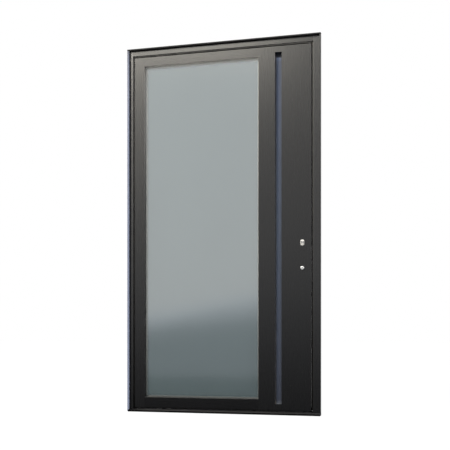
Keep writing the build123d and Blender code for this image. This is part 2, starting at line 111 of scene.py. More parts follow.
def colourMix(tree, kind):
    blend = tree.nodes.new("ShaderNodeMix")
    blend.data_type = "RGBA"
    blend.blend_type = kind
    share, first, second = blend.inputs[0], blend.inputs[6], blend.inputs[7]  # its colour sockets
    return share, first, second, blend.outputs[2]


def spread(tree, value, low, high, fromLow=0.3, fromHigh=0.7):
    span = tree.nodes.new("ShaderNodeMapRange")
    span.inputs["From Min"].default_value = fromLow
    span.inputs["From Max"].default_value = fromHigh
    span.inputs["To Min"].default_value = low
    span.inputs["To Max"].default_value = high
    tree.links.new(value, span.inputs["Value"])
    return span.outputs["Result"]


def tones(tree, value, stops):
    ramp = tree.nodes.new("ShaderNodeValToRGB")
    marks = ramp.color_ramp.elements
    while len(marks) < len(stops):
        marks.new(0.5)
    for mark, (place, colour) in zip(marks, stops):
        mark.position = place
        mark.color = (*colour, 1)
    tree.links.new(value, ramp.inputs["Fac"])
    return ramp.outputs["Color"]


def relief(tree, shader, value, strength, distance):
    bump = tree.nodes.new("ShaderNodeBump")
    bump.inputs["Strength"].default_value = strength
    bump.inputs["Distance"].default_value = distance
    tree.links.new(value, bump.inputs["Height"])
    tree.links.new(bump.outputs["Normal"], shader.inputs["Normal"])


def dressed(tree, shader, look, tint, wear):
    tree.links.new(tones(tree, tint, look["shade"]), shader.inputs["Base Color"])
    tree.links.new(spread(tree, wear, *look["rough"]), shader.inputs["Roughness"])


# coated aluminium: fine drawn grain, soft clouding
coatLook = {
    "shade": [(0.2, (0.0013, 0.0014, 0.0018)), (0.8, (0.0021, 0.0022, 0.0028))],
    "rough": (0.271, 0.283),
    "specular": 0.5,
    "grain": 620,
    "grainRun": 9,
    "bump": 0.012,
}
driftRun = (1.7, 1.7, 1.1)  # slow clouding over the whole door
grainDepth = 0.0002


def coatedMetal(name, look, along):
    mat, tree, shader = newMaterial(name)
    stretch = [look["grain"]] * 3
    stretch["XYZ".index(along)] = look["grainRun"]
    grain = cloud(tree, stretch, detail=3)
    drift = cloud(tree, driftRun, detail=4)
    dressed(tree, shader, look, drift, grain)
    shader.inputs["Specular IOR Level"].default_value = look["specular"]
    relief(tree, shader, grain, look["bump"], grainDepth)
    return mat


uprightCoat = coatedMetal("uprightCoat", coatLook, "Z")
crossCoat = coatedMetal("crossCoat", coatLook, "X")
# the same coat, glossier or duller
jambCoat = coatedMetal("jambCoat", {**coatLook, "specular": 0.7}, "Z")
flangeCoat = coatedMetal("flangeCoat", {**coatLook, "specular": 0.64}, "Z")
footCoat = coatedMetal("footCoat", {**coatLook, "specular": 0.41}, "X")
edgeCoat = coatedMetal("edgeCoat", {**coatLook, "specular": 0.15}, "Z")

# surround bars: a rougher coat over the head; the left bar has a paler, bluer copy of it, painted light
# on the left side
surroundLook = {
    "shade": [(0.2, (0.0035, 0.0035, 0.0041)), (0.8, (0.0055, 0.0055, 0.0063))],
    "rough": (0.5, 0.6),
    "specular": 0.12,
    "grain": 480,
    "grainRun": 480,
    "bump": 0.12,
}
surroundCoat = coatedMetal("surroundCoat", surroundLook, "Z")
# painted light: the left bar and its foot are paler and bluer than the head and right bar
litBarLook = {**surroundLook, "shade": [(0.2, (0.022, 0.0245, 0.033)), (0.8, (0.029, 0.032, 0.043))]}
litBarCoat = coatedMetal("litBarCoat", litBarLook, "Z")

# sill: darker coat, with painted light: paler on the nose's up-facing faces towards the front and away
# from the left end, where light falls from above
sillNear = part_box("threshold")[0]
sillLook = {
    "shade": [(0.2, (0.0028, 0.0028, 0.0031)), (0.8, (0.0042, 0.0042, 0.0046))],
    "rough": (0.38, 0.48),
    "specular": 0.03,
    "treadSpecular": 0.02,
    "grain": 520,
    "grainRun": 7,
    "bump": 0.1,
    "treadLight": (0.040, 0.040, 0.042),
    "slope": (0.4, 0.95),
    "edge": (sillNear[1] + 0.016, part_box("left_jamb_outer")[0][1]),
    "end": (sillNear[0] + 0.02, sillNear[0] + 0.16),
}


def litTreadSill(look):
    mat = coatedMetal("sillMetal", look, "X")
    tree = mat.node_tree
    shader = tree.nodes["Principled BSDF"]
    side = tree.nodes.new("ShaderNodeNewGeometry")
    aim = tree.nodes.new("ShaderNodeSeparateXYZ")
    tree.links.new(side.outputs["Normal"], aim.inputs[0])
    # painted light mask: up-facing faces, near the front edge, away from the left end
    tread = spread(tree, aim.outputs["Z"], 0, 1, *look["slope"])
    place = placeOf(tree)
    fore = spread(tree, place["Y"], 1, 0, *look["edge"])
    treadLight = spread(tree, place["X"], 0, 1, *look["end"])
    for part in (tread, fore):
        treadLight = worked(tree, "MULTIPLY", part, treadLight)
    share, coatColour, litColour, colour = colourMix(tree, "MIX")
    tree.links.new(treadLight, share)
    tree.links.new(shader.inputs["Base Color"].links[0].from_socket, coatColour)
    litColour.default_value = (*look["treadLight"], 1)
    tree.links.new(colour, shader.inputs["Base Color"])
    shine = spread(tree, tread, look["specular"], look["treadSpecular"], 0, 1)
    tree.links.new(shine, shader.inputs["Specular IOR Level"])
    return mat


sillMetal = litTreadSill(sillLook)

# reflective grey-green glass
glassLook = {
    "shade": [(0.3, (0.064, 0.089, 0.099)), (0.7, (0.073, 0.101, 0.111))],
    "rough": (0.07, 0.10),
    "ior": 2.95,
    "drift": (1.3, 1.3, 0.6),
    "haze": (160, 160, 160),
}


def coatedGlass(look):
    mat, tree, shader = newMaterial("coatedGlass")
    drift = cloud(tree, look["drift"], detail=3)
    haze = cloud(tree, look["haze"], detail=2)
    dressed(tree, shader, look, drift, haze)
    shader.inputs["IOR"].default_value = look["ior"]
    return mat


paneGlass = coatedGlass(glassLook)

# graded coats: their tone changes with the height, and across the outer grip too; on the liner, lips,
# seals, edge trim and outer grip this tone is painted light and shade
# reveal liner: painted light and shade, near black at the foot and growing pale near the top, where light
# falls from above
revealLook = {
    "shade": [
        (0.05, (0.018, 0.018, 0.020)),
        (0.33, (0.034, 0.034, 0.036)),
        (0.62, (0.078, 0.078, 0.078)),
        (0.965, (0.34, 0.335, 0.325)),
        (0.978, (0.25, 0.245, 0.235)),
    ],
    "height": 2.4,
    "rough": (0.42, 0.52),
    "specular": 0.2,
    "grain": (700, 40, 700),
    "bump": 0.04,
}
# gasket lips: painted light and shade, darker at the foot and lighter towards the top
lipLook = {
    "shade": [
        (0.06, (0.078, 0.085, 0.085)),
        (0.16, (0.125, 0.134, 0.134)),
        (0.27, (0.205, 0.216, 0.216)),
        (0.60, (0.270, 0.281, 0.281)),
        (0.96, (0.345, 0.354, 0.349)),
    ],
    "height": 2.4,
    "rough": (0.55, 0.7),
    "specular": 0.2,
    "grain": (260, 260, 260),
    "bump": 0.08,
}
# seals, pad, fin and strips: painted shade in the gaps, near black at the foot and lighter towards the
# top
sealLook = {
    "shade": [
        (0.012, (0.004, 0.004, 0.004)),
        (0.05, (0.008, 0.008, 0.008)),
        (0.2, (0.016, 0.016, 0.016)),
        (0.4, (0.038, 0.038, 0.038)),
        (0.8, (0.085, 0.085, 0.082)),
        (1.0, (0.130, 0.129, 0.124)),
    ],
    "height": 2.4,
    "rough": (0.7, 0.85),
    "specular": 0.2,
    "grain": (260, 260, 260),
    "bump": 0.15,
}
# left edge trim: a painted glint, a pale bluish line of light along the left edge, darker towards the top
glintTrimLook = {
    "shade": [
        (0.03, (0.146, 0.170, 0.255)),
        (0.17, (0.137, 0.160, 0.240)),
        (0.31, (0.128, 0.150, 0.225)),
        (0.59, (0.118, 0.138, 0.206)),
        (0.81, (0.113, 0.132, 0.198)),
        (0.92, (0.097, 0.113, 0.172)),
        (0.98, (0.074, 0.086, 0.134)),
        (0.996, (0.048, 0.056, 0.084)),
    ],
    "height": 2.5,
    "rough": (0.45, 0.55),
    "specular": 0.3,
    "grain": (560, 560, 8),
    "bump": 0.06,
}
gripBase = {"height": 2.4, "rough": (0.40, 0.50), "specular": 0.3, "grain": (700, 700, 6), "bump": 0.06}
gripLook = {
    **gripBase,
    "shade": [
        # painted light on the channel's bottom ledge
        (0.029, (0.195, 0.215, 0.255)),
        (0.040, (0.072, 0.086, 0.132)),
        (0.2, (0.084, 0.103, 0.157)),
        (0.5, (0.099, 0.125, 0.186)),
        (0.90, (0.099, 0.126, 0.200)),
        (0.955, (0.098, 0.124, 0.196)),
        (0.983, (0.103, 0.129, 0.200)),
        # painted light against the top lip's shadow, then a painted shadow under the top lip
        (0.9935, (0.210, 0.262, 0.405)),
        (0.9962, (0.015, 0.018, 0.028)),
    ],
    # painted light: lighter on the channel's shaded left side, darker towards the right
    "across": [
        (0.045, (1.0, 0.80, 0.54)),
        (0.1, (0.9, 0.9, 0.9)),
        (0.22, (1.0, 1.0, 1.0)),
        (0.4, (0.97, 0.97, 0.97)),
        (0.55, (0.77, 0.77, 0.77)),
        (0.7, (0.57, 0.57, 0.57)),
        (0.85, (0.45, 0.45, 0.45)),
    ],
    "sides": tuple(corner[0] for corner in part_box("outer_grip_channel")),
}
innerLook = {**gripBase, "shade": [(0.03, (0.060, 0.072, 0.108)), (0.97, (0.070, 0.088, 0.134))]}
fineDepth = 0.0001


def gradedCoat(name, look):
    mat, tree, shader = newMaterial(name)
    place = placeOf(tree)
    rise = spread(tree, place["Z"], 0, 1, 0, look["height"])
    colour = tones(tree, rise, look["shade"])
    if "across" in look:
        over = spread(tree, place["X"], 0, 1, *look["sides"])
        share, first, second, both = colourMix(tree, "MULTIPLY")
        share.default_value = 1
        tree.links.new(colour, first)
        tree.links.new(tones(tree, over, look["across"]), second)
        colour = both
    tree.links.new(colour, shader.inputs["Base Color"])
    grain = cloud(tree, look["grain"], detail=3)
    tree.links.new(spread(tree, grain, *look["rough"]), shader.inputs["Roughness"])
    shader.inputs["Specular IOR Level"].default_value = look["specular"]
    relief(tree, shader, grain, look["bump"], fineDepth)
    return mat


revealCoat = gradedCoat("revealCoat", revealLook)
lipRubber = gradedCoat("lipRubber", lipLook)
sealRubber = gradedCoat("sealRubber", sealLook)
gripMetal = gradedCoat("gripMetal", gripLook)
innerGrip = gradedCoat("innerGrip", innerLook)
paintedGlintTrim = gradedCoat("paintedGlintTrim", glintTrimLook)

# polyamide
polyamideLook = {
    "shade": [(0.3, (0.010, 0.010, 0.010)), (0.7, (0.016, 0.016, 0.016))],
    "rough": (0.55, 0.7),
    "specular": 0.25,
    "speckle": (340, 340, 340),
    "bump": 0.15,
}


def mattBlack(look):
    mat, tree, shader = newMaterial("polyamide")
    speckle = cloud(tree, look["speckle"], detail=4)
    dressed(tree, shader, look, speckle, speckle)
    shader.inputs["Specular IOR Level"].default_value = look["specular"]
    relief(tree, shader, speckle, look["bump"], grainDepth)
    return mat


polyamide = mattBlack(polyamideLook)

# steel and bare aluminium, brushed one way
steelLook = {"shade": [(0.3, (0.62, 0.62, 0.61)), (0.7, (0.72, 0.72, 0.71))], "rough": (0.16, 0.26)}
nickelLook = {"shade": [(0.3, (0.47, 0.465, 0.45)), (0.7, (0.54, 0.53, 0.52))], "rough": (0.3, 0.38)}
pivotLook = {"shade": [(0.3, (0.40, 0.40, 0.40)), (0.7, (0.50, 0.50, 0.49))], "rough": (0.3, 0.42)}
# floor pivot and bottom shoe: a darker copy of the pivot steel, painted shade low under the leaf
shadedPivotLook = {"shade": [(0.3, (0.045, 0.045, 0.046)), (0.7, (0.065, 0.065, 0.066))], "rough": (0.42, 0.55)}
spacerLook = {"shade": [(0.3, (0.10, 0.10, 0.10)), (0.7, (0.15, 0.15, 0.15))], "rough": (0.4, 0.5)}
brush = {"across": 900, "along": 30, "drift": (40, 40, 40), "bump": 0.04}


def bareSteel(name, look, along, metal=1):
    mat, tree, shader = newMaterial(name)
    stretch = [brush["across"]] * 3
    stretch["XYZ".index(along)] = brush["along"]
    grain = cloud(tree, stretch, detail=3)
    drift = cloud(tree, brush["drift"], detail=3)
    dressed(tree, shader, look, drift, grain)
    shader.inputs["Metallic"].default_value = metal
    relief(tree, shader, grain, brush["bump"], fineDepth)
    return mat


brightSteel = bareSteel("brightSteel", steelLook, "X")
satinNickel = bareSteel("satinNickel", nickelLook, "X", 0.35)
satinSteel = bareSteel("satinSteel", pivotLook, "Z")
shadedSteel = bareSteel("shadedSteel", shadedPivotLook, "X")
spacerMetal = bareSteel("spacerMetal", spacerLook, "Z")

# smooth grey window of the reader
windowLook = {
    "shade": [(0.3, (0.20, 0.20, 0.205)), (0.7, (0.26, 0.26, 0.265))],
    "rough": (0.12, 0.2),
    "speckle": (900, 900, 900),
}


def sensorWindow(look):
    mat, tree, shader = newMaterial("sensorWindow")
    speckle = cloud(tree, look["speckle"], detail=2)
    dressed(tree, shader, look, speckle, speckle)
    return mat


readerGlass = sensorWindow(windowLook)

# what each node is finished with: all others have the upright coat
finishes = {
    "left_surround": litBarCoat,
    "left_edge_trim": paintedGlintTrim,
    "right_surround": uprightCoat,
    "head_surround": surroundCoat,
    "left_jamb_outer": jambCoat,
    "right_jamb_outer": flangeCoat,
    "right_cover_flange": flangeCoat,
    "head_outer": crossCoat,
    "head_inner": crossCoat,
    "top_rail_outer": crossCoat,
    "top_rail_inner": crossCoat,
    "bottom_rail_outer": footCoat,
    "bottom_rail_inner": crossCoat,
    "frame_thermal_break": polyamide,
    "leaf_thermal_break": polyamide,
    "panel_web": polyamide,
    "frame_seals": sealRubber,
    "glazing_gaskets": sealRubber,
    "leaf_seals": sealRubber,
    "outer_grip_channel": gripMetal,
    "inner_grip_channel": innerGrip,
    "lock_stile_outer": edgeCoat,
    "outer_glass": paneGlass,
    "inner_glass": paneGlass,
    "glass_spacer": spacerMetal,
    "threshold": sillMetal,
    "finger_reader": brightSteel,
    "cylinder_roses": brightSteel,
    "lock_cylinder": brightSteel,
    "reader_window": readerGlass,
    "strike_plate": satinSteel,
    "lock_faceplate": satinSteel,
    "lock_bolts": satinSteel,
    "floor_pivot": shadedSteel,
    "top_pivot": satinSteel,
    "bottom_pivot_shoe": shadedSteel,
    "top_pivot_shoe": satinSteel,
}
for nodeName, node in nodes.items():
    node.data.materials.clear()
    node.data.materials.append(finishes.get(nodeName, uprightCoat))
print("finishes on", len(nodes), "nodes")


# mesh helpers
def finished(name, bm, mat, body, crease):
    bmesh.ops.recalc_face_normals(bm, faces=bm.faces)
    mesh = bpy.data.meshes.new(name)
    bm.to_mesh(mesh)
    bm.free()
    mesh.shade_smooth()
    mesh.set_sharp_from_angle(angle=math.radians(crease))
    mesh.materials.append(mat)
    obj = bpy.data.objects.new(name, mesh)
    bpy.context.scene.collection.objects.link(obj)
    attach(obj, body)
    return obj


def bridge(bm, lower, upper):
    count = len(lower)
    for i in range(count):
        j = (i + 1) % count
        bm.faces.new((lower[i], lower[j], upper[j], upper[i]))


def loftRings(bm, rings):
    loops = [[bm.verts.new(p) for p in ring] for ring in rings]
    for lower, upper in zip(loops, loops[1:]):
        bridge(bm, lower, upper)
    return loops


def capped(bm, loops):
    bm.faces.new(loops[0])
    bm.faces.new(loops[-1])


def shrunk(span, inset):
    return span[0] + inset, span[1] - inset


def levelRing(xs, ys, z):
    (x0, x1), (y0, y1) = xs, ys
    return [(x0, y0, z), (x1, y0, z), (x1, y1, z), (x0, y1, z)]


def openingRing(opening, inward, y):
    x0, x1 = opening["left"] + inward, opening["right"] - inward
    z0, z1 = opening["bottom"] + inward, opening["top"] - inward
    return [(x0, y, z0), (x1, y, z0), (x1, y, z1), (x0, y, z1)]


def quarterTurn(steps):
    return [math.pi / 2 * i / (steps - 1) for i in range(steps)]


def roundedLoop(centre, width, height, radius, depth, steps=9):
    loop = []
    for corner, (sx, sz) in enumerate(((1, 1), (-1, 1), (-1, -1), (1, -1))):
        hub = (centre[0] + sx * (width / 2 - radius), centre[1] + sz * (height / 2 - radius))
        for i in range(steps):
            a = math.pi / 2 * (corner + i / (steps - 1))
            loop.append((hub[0] + radius * math.cos(a), depth, hub[1] + radius * math.sin(a)))
    return loop


# finger reader: soft pebble case with a sunk window
low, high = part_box("finger_reader")
reader = {
    "centre": ((low[0] + high[0]) / 2, (low[2] + high[2]) / 2),
    "size": (high[0] - low[0], high[2] - low[2]),
    "seat": high[1],
    "front": low[1],
    "corner": 0.0132,
    "soft": 0.0062,
    "window": (0.0206, 0.0136),
    "windowCorner": 0.0012,
    "lip": 0.0008,
    "lipDrop": 0.0006,
    "sunk": 0.0021,
    "crease": 30,
}


def readerCase(spec):
    bm = bmesh.new()
    centre, corner, soft = spec["centre"], spec["corner"], spec["soft"]
    width, height = spec["size"]
    rings = [roundedLoop(centre, width, height, corner, spec["seat"])]
    for a in quarterTurn(9):
        inset = soft * (1 - math.cos(a))
        depth = spec["front"] + soft * (1 - math.sin(a))
        rings.append(roundedLoop(centre, width - 2 * inset, height - 2 * inset, corner - inset, depth))
    width, height = spec["window"]
    for grow, drop in ((spec["lip"], 0.0), (0.0, spec["lipDrop"]), (0.0, spec["sunk"])):
        radius, depth = spec["windowCorner"] + grow, spec["front"] + drop
        rings.append(roundedLoop(centre, width + 2 * grow, height + 2 * grow, radius, depth))
    capped(bm, loftRings(bm, rings))
    return finished("readerCase", bm, satinNickel, "leaf", spec["crease"])


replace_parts(readerCase(reader), "finger_reader")

# roses: turned rings with a soft shoulder, one on each side
low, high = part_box("cylinder_roses")
roseHeight = 0.006
rose = {
    "axis": ((low[0] + high[0]) / 2, (low[2] + high[2]) / 2),
    "radius": (high[0] - low[0]) / 2,
    "bore": 0.0088,
    "boreEdge": 0.0003,
    "soft": 0.0042,
    "seats": ((low[1] + roseHeight, -1), (high[1] - roseHeight, 1)),
    "sides": 56,
    "crease": 30,
}


def roseRings(spec):
    bm = bmesh.new()
    bore, edge, soft = spec["bore"], spec["boreEdge"], spec["soft"]
    profile = [(spec["radius"], 0.0)]
    for a in quarterTurn(8):
        profile.append((spec["radius"] - soft * (1 - math.cos(a)), roseHeight - soft * (1 - math.sin(a))))
    profile += [(bore + edge, roseHeight), (bore, roseHeight - edge), (bore, 0.0)]
    turns = [2 * math.pi * i / spec["sides"] for i in range(spec["sides"])]
    x, z = spec["axis"]
    for seat, way in spec["seats"]:
        rings = []
        for r, h in profile:
            rings.append([(x + r * math.cos(a), seat + way * h, z + r * math.sin(a)) for a in turns])
        loops = loftRings(bm, rings)
        bridge(bm, loops[-1], loops[0])
    return finished("roseRings", bm, brightSteel, "leaf", spec["crease"])


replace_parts(roseRings(rose), "cylinder_roses")
print("lock fittings dressed")

# soft gasket lips in the corners between the glass and its frame
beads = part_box("glazing_beads")
rebate = 0.020  # the beads reach this far behind the edge of the opening
sight = {
    "left": beads[0][0] + rebate,
    "right": beads[1][0] - rebate,
    "bottom": beads[0][2] + rebate,
    "top": beads[1][2] - rebate,
}
outerLip = {"face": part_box("outer_glass")[0][1], "way": -1, "wide": 0.0115, "deep": 0.0025}
innerLip = {"face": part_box("inner_glass")[1][1], "way": 1, "wide": 0.003, "deep": 0.003}
reliefCrease = 35


def glazingLips(lips, opening):
    bm = bmesh.new()
    for lip in lips:
        profile = [(0.0, 0.0)]
        for a in quarterTurn(7):
            profile.append((lip["wide"] * math.sin(a), lip["deep"] * math.cos(a)))
        rings = [openingRing(opening, inward, lip["face"] + lip["way"] * out) for inward, out in profile]
        loops = loftRings(bm, rings)
        bridge(bm, loops[-1], loops[0])
    return finished("glazingLips", bm, lipRubber, "leaf", reliefCrease)


glazingLips((outerLip, innerLip), sight)

# satin liner round the reveal in front of the glass
linerGap = {"face": 0.0012, "lip": 0.0002}
liner = {
    "sheet": 0.0008,
    "front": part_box("left_stile_outer")[0][1] + linerGap["face"],
    "back": outerLip["face"] - outerLip["deep"] - linerGap["lip"],
}


def revealLiner(spec, opening):
    bm = bmesh.new()
    sheet, front, back = spec["sheet"], spec["front"], spec["back"]
    outline = ((0, front), (sheet, front), (sheet, back), (0, back))
    loops = loftRings(bm, [openingRing(opening, inward, y) for inward, y in outline])
    bridge(bm, loops[-1], loops[0])
    return finished("revealLiner", bm, revealCoat, "leaf", reliefCrease)


revealLiner(liner, sight)

# plugs in the open ends of the hollow profiles
plug = {"wall": 0.0025, "slack": 0.0002, "sink": 0.0006, "deep": 0.0045, "bevel": 0.0006, "crease": 20}
plugEnds = {
    "frame": [(n + side, 1) for n in ("left_jamb", "right_jamb") for side in ("_outer", "_inner")],
    "leaf": [
        (n + side, way)
        for n in ("left_stile", "mullion", "lock_stile")
        for side in ("_outer", "_inner")
        for way in (1, -1)
    ],
}


def endPlugs(spec, body, ends):
    bm = bmesh.new()
    inset = spec["wall"] + spec["slack"]
    bevel, sink = spec["bevel"], spec["sink"]
    for node, way in ends:
        low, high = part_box(node)
        end = high[2] if way > 0 else low[2]
        rings = []
        for extra, depth in ((0, spec["deep"]), (0, sink + bevel), (bevel, sink)):
            xs, ys = (shrunk((low[i], high[i]), inset + extra) for i in (0, 1))
            rings.append(levelRing(xs, ys, end - way * depth))
        capped(bm, loftRings(bm, rings))
    return finished(body + "Plugs", bm, polyamide, body, spec["crease"])


for body, ends in plugEnds.items():
    endPlugs(plug, body, ends)


# small blocks with softened upper edges
softShare = 0.3  # how far the softened edge is cut at its middle
softCrease = 50


def softBlock(name, spec, mat, body):
    bm = bmesh.new()
    z0, z1 = spec["z"]
    soft = spec["soft"]
    middle = softShare * soft
    rings = []
    for inset, z in ((0, z0), (0, z1 - soft), (middle, z1 - middle), (soft, z1)):
        rings.append(levelRing(shrunk(spec["x"], inset), shrunk(spec["y"], inset), z))
    capped(bm, loftRings(bm, rings))
    return finished(name, bm, mat, body, softCrease)


# the doorway that the rubber pieces close, and their fits
sillLow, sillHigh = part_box("threshold")
doorLeft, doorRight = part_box("left_jamb_outer")[1][0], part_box("right_jamb_outer")[0][0]
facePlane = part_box("left_jamb_outer")[0][1]
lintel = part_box("head_inner")
leafLow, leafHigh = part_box("left_stile_outer")
rubber = {
    "bite": 0.001,
    "rootBite": 0.0005,
    "slack": 0.001,
    "endGap": 0.002,
    "leafGap": 0.0028,
    "sweepGap": 0.0006,
}

# rubber pad that closes the foot of the lock-side gap
pad = {
    "x": (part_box("lock_stile_outer")[1][0] + rubber["leafGap"], doorRight),
    "y": (-0.016, 0.008),
    "z": (sillHigh[2] - rubber["bite"], 0.046),
    "soft": 0.0015,
}
softBlock("cornerPad", pad, sealRubber, "frame")

# rubber fin on the sill, low enough for the leaf's front sweep to pass over it
fin = {
    "x": shrunk((doorLeft, doorRight), rubber["slack"]),
    "y": (0.0265, 0.0315),
    "z": (sillHigh[2] - rubber["bite"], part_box("leaf_seals")[0][2] - rubber["sweepGap"]),
    "soft": 0.0018,
}
softBlock("sillFin", fin, sealRubber, "frame")

# upright rubber strips: they overlap in the gaps beside the leaf and clear its swing
stripTop = lintel[0][2] - rubber["slack"]
strips = {
    "pivotStrip": {
        "body": "leaf",
        "root": leafLow[0] + rubber["rootBite"],
        "reach": -0.009,
        "y": 0.0,
        "thick": 0.006,
        "z": shrunk((leafLow[2], leafHigh[2]), rubber["endGap"]),
    },
    "jambStrip": {
        "body": "frame",
        "root": doorLeft,
        "reach": 0.009,
        "y": 0.019,
        "thick": 0.005,
        "z": (sillHigh[2], stripTop),
    },
    "lockStrip": {
        "body": "frame",
        "root": doorRight,
        "reach": -0.0105,
        "y": -0.0155,
        "thick": 0.005,
        "z": (pad["z"][1] - rubber["bite"], stripTop),
    },
}


def edgeStrip(name, spec):
    bm = bmesh.new()
    root, y, half = spec["root"], spec["y"], spec["thick"] / 2
    way = math.copysign(1, spec["reach"])
    hub = root + spec["reach"] - way * half
    outline = [(root, y - half)]
    for i in range(9):
        a = math.pi * (i / 8 - 0.5)
        outline.append((hub + way * half * math.cos(a), y + half * math.sin(a)))
    outline.append((root, y + half))
    capped(bm, loftRings(bm, [[(px, py, z) for px, py in outline] for z in spec["z"]]))
    return finished(name, bm, sealRubber, spec["body"], softCrease)


for name, spec in strips.items():
    edgeStrip(name, spec)

# feet that carry the left bar and its trim down to the floor
for name, node, mat in (("barFoot", "left_surround", litBarCoat), ("trimFoot", "left_edge_trim", paintedGlintTrim)):
    low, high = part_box(node)
    foot = {"x": (low[0], high[0]), "y": (low[1], high[1]), "z": (0.0, low[2]), "soft": 0.0002}
    softBlock(name, foot, mat, "frame")

# sill: a rounded nose before the jambs and a flat step between them
sill = {
    "nose": 0.013,
    "round": 0.002,
    "setIn": 0.018,  # the nose starts this far right of the solid's
    "sink": 0.0004,
    "chamfer": 0.0008,
    "endShare": 0.97,
    "crease": 30,
}


def sillPiece(spec):
    bm = bmesh.new()
    r, chamfer, endShare = spec["round"], spec["chamfer"], spec["endShare"]
    front, top = sillLow[1], sillHigh[2] - spec["sink"]
    left, right = sillLow[0] + spec["setIn"], sillHigh[0]
    outline = [(front, 0.0)]
    for a in quarterTurn(9):
        outline.append((front + r - r * math.cos(a), spec["nose"] - r + r * math.sin(a)))
    outline += [(facePlane, top), (facePlane, 0.0)]
    middle = (front + facePlane) / 2
    nose = []
    for x, size in ((left, endShare), (left + chamfer, 1), (right - chamfer, 1), (right, endShare)):
        nose.append([(x, middle + (y - middle) * size, z * size) for y, z in outline])
    noseLoops = loftRings(bm, nose)
    step = []
    for inset, z in ((0, 0.0), (0, top - chamfer), (chamfer, top)):
        step.append(levelRing(shrunk((doorLeft, doorRight), inset), (facePlane, sillHigh[1] - inset), z))
    stepLoops = loftRings(bm, step)
    for loops in (noseLoops, stepLoops):
        capped(bm, loops)
    return finished("sillPiece", bm, sillMetal, "frame", spec["crease"])


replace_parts(sillPiece(sill), "threshold")
print("gasket lips, liner, end plugs, pad, fin, strips, feet and sill set")

# screws and caps: one node group, a cloud of points for each body and finish
screwHead = {"sides": 24, "topShare": 0.84, "driveSides": 6, "driveLift": 0.8, "fullTurn": 6.2832}


def screwNodes(spec):
    group = bpy.data.node_groups.new("screwRow", "GeometryNodeTree")
    sockets = group.interface
    for name, kind in (
        ("Points", "NodeSocketGeometry"),
        ("Head Radius", "NodeSocketFloat"),
        ("Head Height", "NodeSocketFloat"),
        ("Socket Share", "NodeSocketFloat"),
        ("Turn Seed", "NodeSocketInt"),
        ("Finish", "NodeSocketMaterial"),
    ):
        sockets.new_socket(name, in_out="INPUT", socket_type=kind)
    sockets.new_socket("Screws", in_out="OUTPUT", socket_type="NodeSocketGeometry")
    add = group.nodes.new
    link = group.links.new
    given = add("NodeGroupInput")
    result = add("NodeGroupOutput")

    radius, height = given.outputs["Head Radius"], given.outputs["Head Height"]
    head = add("GeometryNodeMeshCone")
    head.inputs["Vertices"].default_value = spec["sides"]
    link(radius, head.inputs["Radius Bottom"])
    link(worked(group, "MULTIPLY", radius, spec["topShare"]), head.inputs["Radius Top"])
    link(height, head.inputs["Depth"])
    drive = add("GeometryNodeMeshCylinder")
    drive.inputs["Vertices"].default_value = spec["driveSides"]
    link(worked(group, "MULTIPLY", radius, given.outputs["Socket Share"]), drive.inputs["Radius"])
    link(height, drive.inputs["Depth"])
    lift = add("ShaderNodeCombineXYZ")
    link(worked(group, "MULTIPLY", height, spec["driveLift"]), lift.inputs["Z"])
    raised = add("GeometryNodeTransform")
    link(drive.outputs["Mesh"], raised.inputs["Geometry"])
    link(lift.outputs[0], raised.inputs["Translation"])
    cut = add("GeometryNodeMeshBoolean")
    cut.operation = "DIFFERENCE"
    link(head.outputs["Mesh"], cut.inputs["Mesh 1"])
    link(raised.outputs[0], cut.inputs["Mesh 2"])

    facing = add("GeometryNodeInputNamedAttribute")
    facing.data_type = "FLOAT_VECTOR"
    facing.inputs["Name"].default_value = "facing"
    size = add("GeometryNodeInputNamedAttribute")
    size.data_type = "FLOAT"
    size.inputs["Name"].default_value = "size"
    stand = add("FunctionNodeAlignRotationToVector")
    stand.axis = "Z"
    link(facing.outputs["Attribute"], stand.inputs["Vector"])
    place = add("GeometryNodeInstanceOnPoints")
    link(given.outputs["Points"], place.inputs["Points"])
    link(cut.outputs["Mesh"], place.inputs["Instance"])
    link(stand.outputs[0], place.inputs["Rotation"])
    link(size.outputs["Attribute"], place.inputs["Scale"])
    chance = add("FunctionNodeRandomValue")
    chance.data_type = "FLOAT"
    chance.inputs[3].default_value = spec["fullTurn"]  # the float kind's Max
    link(given.outputs["Turn Seed"], chance.inputs["Seed"])
    turn = add("ShaderNodeCombineXYZ")
    link(chance.outputs[1], turn.inputs["Z"])
    spin = add("GeometryNodeRotateInstances")
    link(place.outputs[0], spin.inputs["Instances"])
    link(turn.outputs[0], spin.inputs["Rotation"])
    real = add("GeometryNodeRealizeInstances")
    link(spin.outputs[0], real.inputs[0])
    paint = add("GeometryNodeSetMaterial")
    link(real.outputs[0], paint.inputs["Geometry"])
    link(given.outputs["Finish"], paint.inputs["Material"])
    link(paint.outputs[0], result.inputs["Screws"])
    return group


screwTree = screwNodes(screwHead)
grownCrease = 20


def grown(name, body, mesh, group, values):
    source = bpy.data.objects.new(name + "Source", mesh)
    bpy.context.scene.collection.objects.link(source)
    rows = source.modifiers.new(group.name, "NODES")
    rows.node_group = group
    for item in group.interface.items_tree:
        if item.in_out == "INPUT" and item.name in values:
            rows[item.identifier] = values[item.name]
    shown = source.evaluated_get(bpy.context.evaluated_depsgraph_get())
    result = bpy.data.meshes.new_from_object(shown)
    bpy.data.objects.remove(source)
    result.set_sharp_from_angle(angle=math.radians(grownCrease))
    obj = bpy.data.objects.new(name, result)
    bpy.context.scene.collection.objects.link(obj)
    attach(obj, body)
    return obj


def screwRow(name, body, marks, values):
    points = bpy.data.meshes.new(name + "Points")
    points.from_pydata([m[0] for m in marks], [], [])
    points.attributes.new("facing", "FLOAT_VECTOR", "POINT")
    points.attributes.new("size", "FLOAT", "POINT")
    for i, (_, way, scale) in enumerate(marks):
        points.attributes["facing"].data[i].vector = way
        points.attributes["size"].data[i].value = scale
    return grown(name, body, points, screwTree, values)


